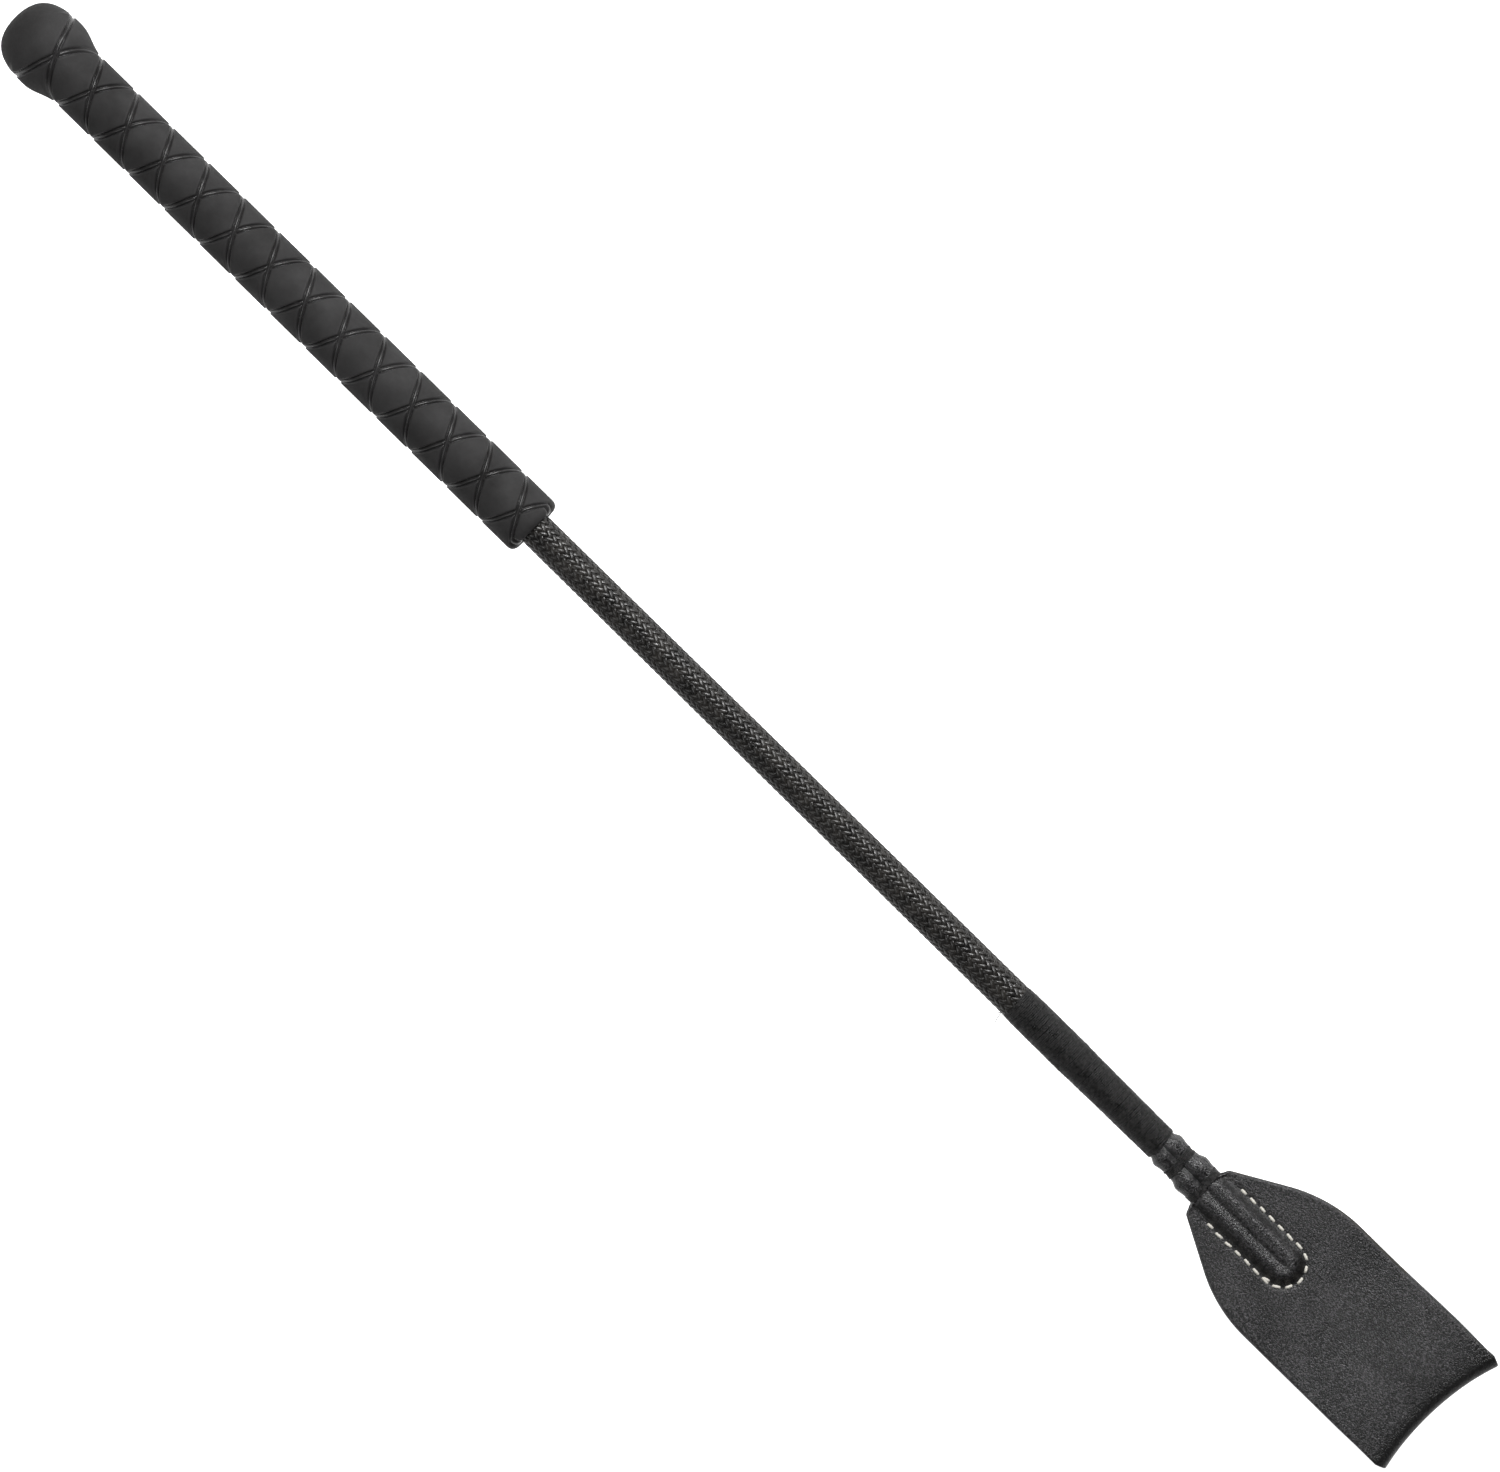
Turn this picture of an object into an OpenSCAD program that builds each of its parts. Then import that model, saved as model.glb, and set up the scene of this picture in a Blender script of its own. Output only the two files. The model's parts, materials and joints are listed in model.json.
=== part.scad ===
// Riding crop with a padded fibreglass shaft under braided nylon, a slip-on
// rubber grip and a folded leather tongue, stitched round a loop of leather cord.
// The shaft runs along X from the knob to the tongue, and +Z is the tongue's upper face.
// Stations are distances along the shaft from the end of the knob.

/* [Overall] */
// Length from the end of the knob to the end of the tongue
crop_length = 635; // [500:1:900]

/* [Grip] */
// Length of the rubber grip with its knob
grip_length = 231; // [150:1:290]
// Diameter of the grip
grip_d = 20.7; // [17:0.1:30]
// Diameter of the knob
knob_d = 26.7; // [22:0.1:40]
// Station of the knob's widest ring
knob_dome = 15.9; // [12:0.1:22]
// Length of the flare from the knob down to the grip
knob_flare = 12.1; // [8:0.1:25]
// Rubber left between the knob's end and the rod's cap
knob_wall = 7; // [4:0.1:9]
// Radius of the rounded edge at the grip's open end
grip_edge_r = 2.3; // [0.5:0.1:3]
// Thickness of the tape under the grip
tape_t = 0.6; // [0.3:0.05:1]

/* [Shaft] */
// Diameter over the braided cover
shaft_d = 11.7; // [9.5:0.1:14.5]
// Thickness of the braided cover
cover_t = 0.9; // [0.5:0.05:1]
// Diameter of the rod at the grip
rod_d = 6.5; // [5:0.1:7.8]
// Diameter of the rod at its tip
rod_tip_d = 3.4; // [2.5:0.1:4.2]
// Length of the cap on the rod's end
cap_length = 6; // [4:0.1:10]
// Thickness of that cap's closed end
cap_floor = 2; // [1:0.1:3]

/* [Whipping and neck] */
// Length of the thread whipping
whipping_length = 65.4; // [50:0.1:90]
// Thickness of the whipping over the braided cover
whipping_t = 0.45; // [0.3:0.05:1]
// Thickness of the whipping over the leather sleeve
whipping_end_t = 0.6; // [0.3:0.05:1]
// How far the braided cover runs in under the whipping
cover_tuck = 32; // [20:0.5:36]
// How far the leather runs in under the whipping
leather_tuck = 14.6; // [8:0.1:18]
// Length of the leather bulge behind the rear binding
rear_bulge = 6; // [5:0.1:10]
// Length of the leather bulge between the two bindings
front_bulge = 7; // [4:0.1:10]
// Width of the rear binding
rear_binding = 3.6; // [2:0.1:6]
// Width of the front binding
front_binding = 3.2; // [2:0.1:6]
// Thickness of the bindings
binding_t = 0.6; // [0.3:0.05:1.2]
// Thickness of the leather squeezed under the rear binding
pinched_t = 0.65; // [0.4:0.05:1.3]
// Height of the leather bulges, past a straight line between their ends
bulge_height = 0.8; // [0.3:0.05:1.5]
// How far the leather beside the rear binding stands over what the binding squeezes
bulge_lip = 0.3; // [0.1:0.05:0.5]

/* [Keeper loop] */
// Diameter of the leather cord in the loop
cord_d = 4.8; // [3.6:0.1:5.8]
// Gap between the loop's two legs
cord_gap = 0.5; // [0.2:0.1:2]
// Thickness of the loop's tails, pressed round the rod
tail_t = 2; // [1.2:0.1:2.6]
// Width of the slits between the two tails
tail_slit = 0.6; // [0.3:0.1:1.2]
// Length of the loop inside the tongue, to the centre of its round end
stub_length = 33.8; // [26:0.1:42]

/* [Tongue] */
// Length of the leather tongue past the front binding
tongue_length = 105.2; // [85:0.1:130]
// Width of the tongue
tongue_width = 51; // [42:0.1:64]
// Width of the tongue where it leaves the binding
tongue_root_width = 17.2; // [15:0.1:20]
// Angle of the tapered sides
taper_angle = 28.4; // [22:0.1:36]
// Radius of the shoulders
shoulder_r = 50; // [20:1:60]
// Thickness of the leather
leather_t = 1.3; // [1:0.05:1.6]
// Outer radius of the rolled fold at the end
fold_r = 3.9; // [2.6:0.1:5]

/* [Seam] */
// Flat leather between the keeper loop's ridge and the middle of the seam
seam_clear = 1.3; // [0.8:0.05:2]
// Distance from the front binding to the first stitch
seam_start = 7.1; // [5:0.1:12]
// Spacing of the stitches
stitch_pitch = 4.1; // [3.4:0.1:6]
// Gap between two stitches
stitch_gap = 1.5; // [1.2:0.1:2]
// Diameter of the seam thread
seam_thread_d = 1; // [0.6:0.1:1.2]
// Leather between the seam's round end and the bend
seam_margin = 3.3; // [2:0.1:8]

/* [Clearances] */
// Clearance between layers that lie on each other
fit_gap = 0.05; // [0.02:0.01:0.1]
// Clearance round the bend of the tongue
bend_gap = 0.3; // [0.2:0.05:0.5]

/* [Hidden] */
$fn = 72;

grip_r = grip_d / 2;
knob_r = knob_d / 2;
// A power of 2 would give the knob's end an elliptical section, and this one is squarer
knob_power = 2.8;
profile_steps = 12;

shaft_r = shaft_d / 2;
filler_r = shaft_r - cover_t - fit_gap;
tape_r = shaft_r + fit_gap + tape_t;
grip_bore_r = tape_r + fit_gap;
rod_x = knob_wall + cap_floor;
layers_x = knob_wall + cap_length;

tongue_x = crop_length - tongue_length;
front_binding_x = tongue_x - front_binding;
front_bulge_x = front_binding_x - front_bulge;
rear_binding_x = front_bulge_x - rear_binding;
neck_x = rear_binding_x - rear_bulge;
whipping_x = neck_x - whipping_length;
cover_end_x = whipping_x + cover_tuck;
sleeve_x = neck_x - leather_tuck;

// The tails lie round the rod's tip, and the round legs start where the rod ends
tails_x = cover_end_x + fit_gap;
tails_end_x = neck_x + 2;
rod_end_x = tails_end_x - 1;
legs_x = tails_end_x - 0.5;
tail_r = rod_r_at(tails_x) + fit_gap + tail_t;
sleeve_bore_r = tail_r + fit_gap;
sleeve_r = sleeve_bore_r + leather_t;
whipping_bore_r = sleeve_r + fit_gap;

cord_r = cord_d / 2;
leg_y = cord_r + cord_gap / 2;
leg_bore_r = cord_r + fit_gap;
stub_x = tongue_x + stub_length;
stub_r = leg_bore_r + leather_t;
pinched_r = leg_bore_r + pinched_t;
// Leather plug that fills the middle of the loop's round end
plug_r = leg_y * 0.6;
plug_h = stub_r * 1.7;
seam_offset = leg_y + stub_r + seam_clear;

half_width = tongue_width / 2;
shoulder_x = tongue_x + shoulder_r * sin(taper_angle)
    + (half_width - tongue_root_width / 2 - shoulder_r * (1 - cos(taper_angle))) / tan(taper_angle);
hinge_x = stub_x + seam_offset + seam_margin;
fold_x = crop_length - fold_r;

seam_side = stub_length - seam_start;
seam_bend = PI * seam_offset;
seam_length = 2 * seam_side + seam_bend;
stitch_count = round(seam_length / stitch_pitch);
stitch_step = seam_length / stitch_count;
stitch_length = stitch_step - stitch_gap;
seam_thread_r = seam_thread_d / 2;
stitch_z = leather_t + fit_gap + seam_thread_r;
stitch_leg_r = seam_thread_r * 0.8;
stitch_hole_r = stitch_leg_r + fit_gap;

rubber = [0.20, 0.20, 0.21];
nylon = [0.13, 0.13, 0.13];
thread = [0.08, 0.08, 0.08];
leather = [0.16, 0.16, 0.17];

// Radius of the tapered rod at a station
function rod_r_at(x) =
    rod_d / 2 + (rod_tip_d - rod_d) / 2 * (x - rod_x) / (rod_end_x - rod_x);

// Points round the knob's domed end, from the axis to its widest ring
function dome_points() = [
    for (i = [0:profile_steps])
        let (a = 90 * i / profile_steps)
            [knob_r * pow(sin(a), 2 / knob_power), knob_dome * (1 - pow(cos(a), 2 / knob_power))]
];

// Points down the flare, as half a cosine wave
function flare_points() = [
    for (i = [1:profile_steps])
        let (t = i / profile_steps)
            [grip_r + (knob_r - grip_r) * (1 + cos(180 * t)) / 2, knob_dome + knob_flare * t]
];

// Points round the grip's rounded open end
function grip_end_points() = [
    for (a = [0:15:90])
        [grip_r - grip_edge_r * (1 - cos(a)), grip_length - grip_edge_r * (1 - sin(a))]
];

// Place on the seam at a distance along it, and the direction it runs in
function seam_place(s) =
    s < seam_side ? [tongue_x + seam_start + s, seam_offset, 0]
    : s > seam_side + seam_bend ? [stub_x - (s - seam_side - seam_bend), -seam_offset, 180]
    : let (a = (s - seam_side) / seam_offset * 180 / PI)
        [stub_x + seam_offset * sin(a), seam_offset * cos(a), -a];

// Moves a child drawn at its station to the part's own frame, with the origin at mid-length
module placed() {
    translate([-crop_length / 2, 0, 0]) children();
}

// Round bar or tube along the shaft, from one station to another
module round_bar(x0, x1, r0, r1) {
    translate([x0, 0, 0]) rotate([0, 90, 0]) cylinder(h = x1 - x0, r1 = r0, r2 = r1);
}

// Turns a profile of radius and station about the shaft's axis
module turned() {
    rotate([90, 0, 90]) rotate_extrude() children();
}

// Copies a child to both legs of the loop
module both_legs() {
    for (side = [-1, 1]) translate([0, side * leg_y, 0]) children();
}

// Bar with two rounded ridges side by side, and a flat web between them
module twin_bar(x0, x1, r) {
    both_legs() round_bar(x0, x1, r, r);
    translate([x0, -leg_y, -r]) cube([x1 - x0, 2 * leg_y, 2 * r]);
}

// Barrel that swells by half a sine wave between two stations
module barrel(x0, x1, r0, r1, swell) {
    turned() polygon(concat([[0, x0]], [
        for (i = [0:profile_steps])
            let (t = i / profile_steps)
                [r0 + (r1 - r0) * t + swell * sin(180 * t), x0 + (x1 - x0) * t]
    ], [[0, x1]]));
}

// The loop's cord, or the space that it takes in the leather when extra is a clearance
module loop_shape(extra) {
    r = cord_r + extra;
    both_legs() round_bar(legs_x - extra, stub_x, r, r);
    translate([stub_x, 0, 0]) rotate([0, 0, -90]) rotate_extrude(angle = 180)
        translate([leg_y, 0]) circle(r = r);
}

// The tapered rod, or the space that it takes when extra is a clearance
module rod_shape(extra) {
    round_bar(rod_x, rod_end_x + extra, rod_d / 2 + extra, rod_tip_d / 2 + extra);
}

// Plan of the tongue, with tapered sides, round shoulders and a square end
module tongue_plan() {
    side = concat([[tongue_x, tongue_root_width / 2]], [
        for (i = [0:profile_steps])
            let (a = taper_angle * (1 - i / profile_steps))
                [shoulder_x - shoulder_r * sin(a), half_width - shoulder_r * (1 - cos(a))]
    ], [[crop_length, half_width]]);
    last = len(side) - 1;
    polygon(concat(side, [for (i = [0:last]) [side[last - i][0], -side[last - i][1]]]));
}

// Cylinder across the tongue's whole width, and a little more each side
module cross_cylinder(x, r) {
    translate([x, half_width + 1, 0]) rotate([90, 0, 0]) cylinder(h = tongue_width + 2, r = r);
}

// Wedge across the tongue's whole width, from one half height to another
module cross_wedge(x0, r0, x1, r1) {
    translate([0, half_width + 1, 0]) rotate([90, 0, 0]) linear_extrude(tongue_width + 2)
        polygon([[x0, r0], [x1, r1], [x1, -r1], [x0, -r0]]);
}

// One row of stitches on the upper face, each with its two ends down in the leather
module stitch_row() {
    for (i = [0:stitch_count - 1]) {
        place = seam_place((i + 0.5) * stitch_step);
        translate([place[0], place[1], 0]) rotate([0, 0, place[2]]) {
            translate([0, 0, stitch_z])
                round_bar(-stitch_length / 2, stitch_length / 2, seam_thread_r, seam_thread_r);
            for (end = [-1, 1]) translate([end * stitch_length / 2, 0, 0]) {
                translate([0, 0, stitch_z]) sphere(r = seam_thread_r);
                translate([0, 0, fit_gap]) cylinder(h = stitch_z - fit_gap, r = stitch_leg_r);
            }
        }
    }
}

// Holes for the ends of every stitch
module stitch_holes() {
    for (i = [0:stitch_count - 1]) {
        place = seam_place((i + 0.5) * stitch_step);
        translate([place[0], place[1], 0]) rotate([0, 0, place[2]])
            for (end = [-1, 1]) translate([end * stitch_length / 2, 0, -2 * leather_t])
                cylinder(h = 4 * leather_t, r = stitch_hole_r);
    }
}

module core_rod() {
    color([0.72, 0.70, 0.62]) rod_shape(0);
}

module rod_end_cap() {
    color(nylon) difference() {
        round_bar(knob_wall, layers_x, tape_r, tape_r);
        round_bar(rod_x, layers_x + 1, rod_d / 2 + fit_gap, rod_d / 2 + fit_gap);
    }
}

module core_filler() {
    color([0.62, 0.58, 0.50]) difference() {
        round_bar(layers_x, cover_end_x, filler_r, filler_r);
        rod_shape(fit_gap);
    }
}

module braided_cover() {
    color(nylon) difference() {
        round_bar(layers_x, cover_end_x, shaft_r, shaft_r);
        round_bar(layers_x - 1, cover_end_x + 1, shaft_r - cover_t, shaft_r - cover_t);
    }
}

module grip_tape() {
    color([0.30, 0.29, 0.27]) difference() {
        round_bar(layers_x, grip_length - grip_edge_r, tape_r, tape_r);
        round_bar(layers_x - 1, grip_length, tape_r - tape_t, tape_r - tape_t);
    }
}

module rubber_grip() {
    color(rubber) difference() {
        turned() polygon(concat(dome_points(), flare_points(), grip_end_points(), [[0, grip_length]]));
        round_bar(knob_wall, grip_length - grip_edge_r, grip_bore_r, grip_bore_r);
        round_bar(knob_wall, grip_length + 1, shaft_r + fit_gap, shaft_r + fit_gap);
    }
}

module loop_lashing() {
    color(thread) difference() {
        round_bar(tails_x, sleeve_x - fit_gap, sleeve_r, sleeve_r);
        round_bar(tails_x - 1, sleeve_x, sleeve_bore_r, sleeve_bore_r);
    }
}

module keeper_loop() {
    color(leather) {
        difference() {
            round_bar(tails_x, tails_end_x, tail_r, tail_r);
            rod_shape(fit_gap);
            round_bar(rod_end_x, tails_end_x + 1, rod_tip_d / 2 + fit_gap, rod_tip_d / 2 + fit_gap);
            translate([tails_x - 1, -tail_slit / 2, -shaft_r])
                cube([tails_end_x - tails_x + 2, tail_slit, shaft_d]);
        }
        loop_shape(0);
    }
}

module main_whipping() {
    start_r = shaft_r + fit_gap + whipping_t;
    end_r = whipping_bore_r + whipping_end_t;
    color(thread) difference() {
        union() {
            round_bar(whipping_x, cover_end_x, start_r, start_r);
            round_bar(cover_end_x, neck_x - fit_gap, start_r, end_r);
        }
        round_bar(whipping_x - 1, cover_end_x + fit_gap, shaft_r + fit_gap, shaft_r + fit_gap);
        round_bar(cover_end_x, neck_x, whipping_bore_r, whipping_bore_r);
    }
}

module binding(x0, width, r) {
    color(thread) difference() {
        twin_bar(x0 + fit_gap, x0 + width - fit_gap, r + fit_gap + binding_t);
        twin_bar(x0 - 1, x0 + width + 1, r + fit_gap);
    }
}

module neck_binding_rear() {
    binding(rear_binding_x, rear_binding, pinched_r);
}

module neck_binding_front() {
    binding(front_binding_x, front_binding, stub_r);
}

module tongue_root() {
    color(leather) difference() {
        union() {
            round_bar(sleeve_x, neck_x, sleeve_r, sleeve_r);
            barrel(neck_x, rear_binding_x, sleeve_r, leg_y + pinched_r + bulge_lip, bulge_height);
            twin_bar(rear_binding_x, front_bulge_x, pinched_r);
            both_legs() barrel(front_bulge_x, front_binding_x, pinched_r + bulge_lip, stub_r, bulge_height);
            twin_bar(front_bulge_x, front_binding_x, pinched_r);
            twin_bar(front_binding_x, tongue_x, stub_r);
            both_legs() round_bar(tongue_x, stub_x, stub_r, stub_r);
            translate([stub_x, 0, 0]) rotate([0, 0, -90]) rotate_extrude(angle = 180)
                intersection() {
                    translate([leg_y, 0]) circle(r = stub_r);
                    translate([0, -stub_r]) square([leg_y + stub_r, 2 * stub_r]);
                }
            translate([stub_x, 0, -plug_h / 2]) cylinder(h = plug_h, r = plug_r);
            translate([0, 0, -leather_t]) linear_extrude(2 * leather_t) intersection() {
                tongue_plan();
                translate([tongue_x, -half_width]) square([hinge_x - tongue_x, tongue_width]);
            }
        }
        round_bar(sleeve_x - 1, tails_end_x + fit_gap, sleeve_bore_r, sleeve_bore_r);
        loop_shape(fit_gap);
        stitch_holes();
        cross_cylinder(hinge_x, leather_t + bend_gap);
    }
}

module tongue_flap() {
    fold_bore_r = fold_r - leather_t;
    color(leather) difference() {
        intersection() {
            union() {
                cross_cylinder(hinge_x, leather_t);
                cross_wedge(hinge_x, leather_t, fold_x, fold_r);
                cross_cylinder(fold_x, fold_r);
            }
            translate([0, 0, -fold_r - 1]) linear_extrude(2 * fold_r + 2) tongue_plan();
        }
        cross_wedge(hinge_x + 2 * leather_t, fit_gap, fold_x, fold_bore_r);
        cross_cylinder(fold_x, fold_bore_r);
    }
}

module seam_stitches_top() {
    color("ivory") stitch_row();
}

module seam_stitches_under() {
    color("ivory") mirror([0, 0, 1]) stitch_row();
}

placed() core_rod();
placed() rod_end_cap();
placed() core_filler();
placed() braided_cover();
placed() grip_tape();
placed() rubber_grip();
placed() loop_lashing();
placed() keeper_loop();
placed() main_whipping();
placed() neck_binding_rear();
placed() neck_binding_front();
placed() tongue_root();
placed() tongue_flap();
placed() seam_stitches_top();
placed() seam_stitches_under();
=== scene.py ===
"""Looks of a riding crop: rubber grip, braided shaft, thread whipping and folded leather tongue."""
import json
import random
from bisect import bisect_left
from math import atan, cos, exp, floor, hypot, pi, radians, sin, sqrt, tan

import bmesh
import bpy
from mathutils import Matrix, Vector, noise
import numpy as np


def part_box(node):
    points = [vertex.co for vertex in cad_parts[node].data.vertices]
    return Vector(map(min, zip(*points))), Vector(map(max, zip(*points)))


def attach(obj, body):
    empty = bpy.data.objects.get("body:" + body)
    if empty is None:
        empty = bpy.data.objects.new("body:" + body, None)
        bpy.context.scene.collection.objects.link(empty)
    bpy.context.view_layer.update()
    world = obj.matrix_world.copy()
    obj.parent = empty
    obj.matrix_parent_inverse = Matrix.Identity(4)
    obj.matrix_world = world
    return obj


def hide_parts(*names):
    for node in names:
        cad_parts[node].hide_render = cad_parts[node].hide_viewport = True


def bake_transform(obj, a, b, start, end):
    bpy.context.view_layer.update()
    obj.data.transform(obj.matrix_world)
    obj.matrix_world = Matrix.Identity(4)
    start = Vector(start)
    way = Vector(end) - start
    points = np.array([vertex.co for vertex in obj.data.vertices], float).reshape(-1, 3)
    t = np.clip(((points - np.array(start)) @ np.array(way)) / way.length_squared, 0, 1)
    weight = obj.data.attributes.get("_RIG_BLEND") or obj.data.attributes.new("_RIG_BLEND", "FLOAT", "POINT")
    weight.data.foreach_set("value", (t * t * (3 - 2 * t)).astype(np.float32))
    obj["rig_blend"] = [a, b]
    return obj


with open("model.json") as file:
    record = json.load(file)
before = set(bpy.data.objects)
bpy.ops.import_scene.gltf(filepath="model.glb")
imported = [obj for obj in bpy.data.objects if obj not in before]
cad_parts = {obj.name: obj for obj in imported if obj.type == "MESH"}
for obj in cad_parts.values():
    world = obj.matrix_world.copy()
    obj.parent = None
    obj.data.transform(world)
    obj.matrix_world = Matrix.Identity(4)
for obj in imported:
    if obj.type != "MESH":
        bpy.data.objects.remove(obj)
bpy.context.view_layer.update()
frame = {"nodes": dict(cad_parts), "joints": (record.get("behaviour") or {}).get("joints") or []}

MM = 0.001

# ---------------------------------------------------------------- places and sizes, from the frame

KNOB_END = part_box("rubber_grip")[0].x
GRIP_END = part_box("rubber_grip")[1].x
KNOB_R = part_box("rubber_grip")[1].z
SHAFT_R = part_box("braided_cover")[1].z
WHIP_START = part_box("main_whipping")[0].x
WHIP_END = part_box("main_whipping")[1].x
WHIP_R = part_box("main_whipping")[1].z
REAR_BINDING = [corner.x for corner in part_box("neck_binding_rear")]
FRONT_BINDING = [corner.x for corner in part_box("neck_binding_front")]
TONGUE_START = FRONT_BINDING[1]
TONGUE_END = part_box("tongue_flap")[1].x
LOOP_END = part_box("keeper_loop")[1].x
FOLD_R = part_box("tongue_flap")[1].z
BEND = Vector(frame["joints"][0]["pos_m"])

# ---------------------------------------------------------------- camera

# The camera looks straight down and is turned, so that the crop lies corner to corner in its view
CAMERA_TURN = radians(44.516)
CAMERA_HEIGHT = 1358 * MM
CAMERA_PLACE = (8.2 * MM, 0.9 * MM, CAMERA_HEIGHT)
# Width of the view at the height of the shaft's axis
VIEW_WIDTH = 476.4 * MM
SENSOR = 36
FAR_END = 20
camera_data = bpy.data.cameras.new("camera")
camera_data.sensor_width = SENSOR
camera_data.lens = SENSOR * CAMERA_HEIGHT / VIEW_WIDTH
camera_data.clip_end = FAR_END
camera = bpy.data.objects.new("camera", camera_data)
camera.location = CAMERA_PLACE
camera.rotation_euler = (0, 0, CAMERA_TURN)
bpy.context.scene.collection.objects.link(camera)
bpy.context.scene.camera = camera


# ---------------------------------------------------------------- small helpers

def smooth(low, high, value):
    """0 before low, 1 after high, and an S curve between them."""
    t = min(1, max(0, (value - low) / (high - low)))
    return t * t * (3 - 2 * t)


def mix(a, b, share):
    """From a to b by a share."""
    return a + (b - a) * share


def dip(distance, width):
    """1 at no distance, and falling away like a bell over a width."""
    return exp(-(distance / width) ** 2)


def along_points(points, x):
    """Height at x of a curve through (place, height) points, level at each point."""
    if x <= points[0][0]:
        return points[0][1]
    for (x0, y0), (x1, y1) in zip(points, points[1:]):
        if x <= x1:
            return mix(y0, y1, smooth(x0, x1, x))
    return points[-1][1]


def around(x, radius, angle):
    """Point at a radius from the shaft's axis. Angle 0 is up, and 90 degrees is towards +Y."""
    return Vector((x, radius * sin(angle), radius * cos(angle)))


def new_mesh():
    """Empty bmesh with a UV map and a value per vertex, called mark, which the finishes read."""
    bm = bmesh.new()
    bm.loops.layers.uv.new("UVMap")
    bm.verts.layers.float.new("mark")
    return bm


def add_grid(bm, columns, rows, place, mark=None):
    """Adds a grid, puts each of its points at place(column, row) and keeps mark(column, row) on it."""
    made = bmesh.ops.create_grid(bm, x_segments=columns, y_segments=rows, size=0.5, calc_uvs=True)["verts"]
    layer = bm.verts.layers.float["mark"]
    for vert in made:
        column = round((vert.co.x + 0.5) * columns)
        row = round((vert.co.y + 0.5) * rows)
        vert.co = place(column, row)
        if mark:
            vert[layer] = mark(column, row)


def finish_piece(name, bm, materials, body, nodes=(), merge=0.002 * MM):
    """Makes the piece from a bmesh, gives it its finish and fixes it to a body."""
    bmesh.ops.remove_doubles(bm, verts=bm.verts, dist=merge)
    bmesh.ops.recalc_face_normals(bm, faces=bm.faces)
    mesh = bpy.data.meshes.new(name)
    bm.to_mesh(mesh)
    bm.free()
    for material in materials:
        mesh.materials.append(material)
    for polygon in mesh.polygons:
        polygon.use_smooth = True
    piece = bpy.data.objects.new(name, mesh)
    bpy.context.scene.collection.objects.link(piece)
    if body:
        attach(piece, body)
    if nodes:
        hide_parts(*nodes)
    return piece


# ---------------------------------------------------------------- finishes

# Wear on the leather is 1 where it is rubbed glossy, and below 0 where shade is painted into its colour.
# This is the value at the fold, where the darkest painted shade is.
FOLD_PAINTED_SHADE = -2.4


class Finish:
    """A material with a Principled shader, and short calls for the nodes that feed it."""

    def __init__(self, name, colour, roughness, **settings):
        self.material = bpy.data.materials.new(name)
        self.material.use_nodes = True
        self.material.diffuse_color = (*colour, 1)
        self.tree = self.material.node_tree
        self.shader = self.tree.nodes["Principled BSDF"]
        self.shader.inputs["Base Color"].default_value = (*colour, 1)
        self.shader.inputs["Roughness"].default_value = roughness
        for socket, value in settings.items():
            self.shader.inputs[socket.replace("_", " ")].default_value = value

    def add(self, kind, **sockets):
        """Adds a node, and sets or links each of its sockets named."""
        node = self.tree.nodes.new(kind)
        for socket, value in sockets.items():
            target = node.inputs[socket.replace("_", " ")]
            if isinstance(value, bpy.types.NodeSocket):
                self.tree.links.new(value, target)
            else:
                target.default_value = value
        return node

    def place(self, scale=(1, 1, 1), source="Object", turn=(0, 0, 0)):
        """Coordinates of the piece, stretched by scale."""
        coordinates = self.add("ShaderNodeTexCoord")
        start = coordinates.outputs[source]
        mapping = self.add("ShaderNodeMapping", Vector=start, Scale=scale, Rotation=turn)
        return mapping.outputs["Vector"]

    def mark(self):
        """The value kept on the piece's vertices."""
        attribute = self.add("ShaderNodeAttribute")
        attribute.attribute_name = "mark"
        return attribute.outputs["Fac"]

    def noise(self, vector, scale, detail=2.0, roughness=0.5):
        """Cloudy 0 to 1 value, finer at a greater scale."""
        made = self.add("ShaderNodeTexNoise", Vector=vector, Scale=scale, Detail=detail, Roughness=roughness)
        return made.outputs["Fac"]

    def ramp(self, value, stops):
        """Turns a 0 to 1 value into colours, given as (place, colour) pairs."""
        made = self.add("ShaderNodeValToRGB", Fac=value)
        elements = made.color_ramp.elements
        while len(elements) < len(stops):
            elements.new(0.5)
        for element, (spot, colour) in zip(elements, stops):
            element.position = spot
            element.color = (*colour, 1)
        return made.outputs["Color"]

    def levels(self, value, low, high, start=0.0, end=1.0):
        """Maps start..end of a value to low..high, and clamps it."""
        made = self.add("ShaderNodeMapRange", Value=value,
                        From_Min=start, From_Max=end, To_Min=low, To_Max=high)
        return made.outputs["Result"]

    def sum(self, a, b, weight=1.0):
        """a plus b times weight."""
        made = self.tree.nodes.new("ShaderNodeMath")
        made.operation = "MULTIPLY_ADD"
        self.tree.links.new(b, made.inputs[0])
        made.inputs[1].default_value = weight
        self.tree.links.new(a, made.inputs[2])
        return made.outputs["Value"]

    def use(self, socket, value):
        """Feeds a value to the shader."""
        self.tree.links.new(value, self.shader.inputs[socket])

    def bump(self, height, distance, strength=1.0):
        """Fine relief, as deep as distance."""
        made = self.add("ShaderNodeBump", Height=height, Distance=distance, Strength=strength)
        self.use("Normal", made.outputs["Normal"])


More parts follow.
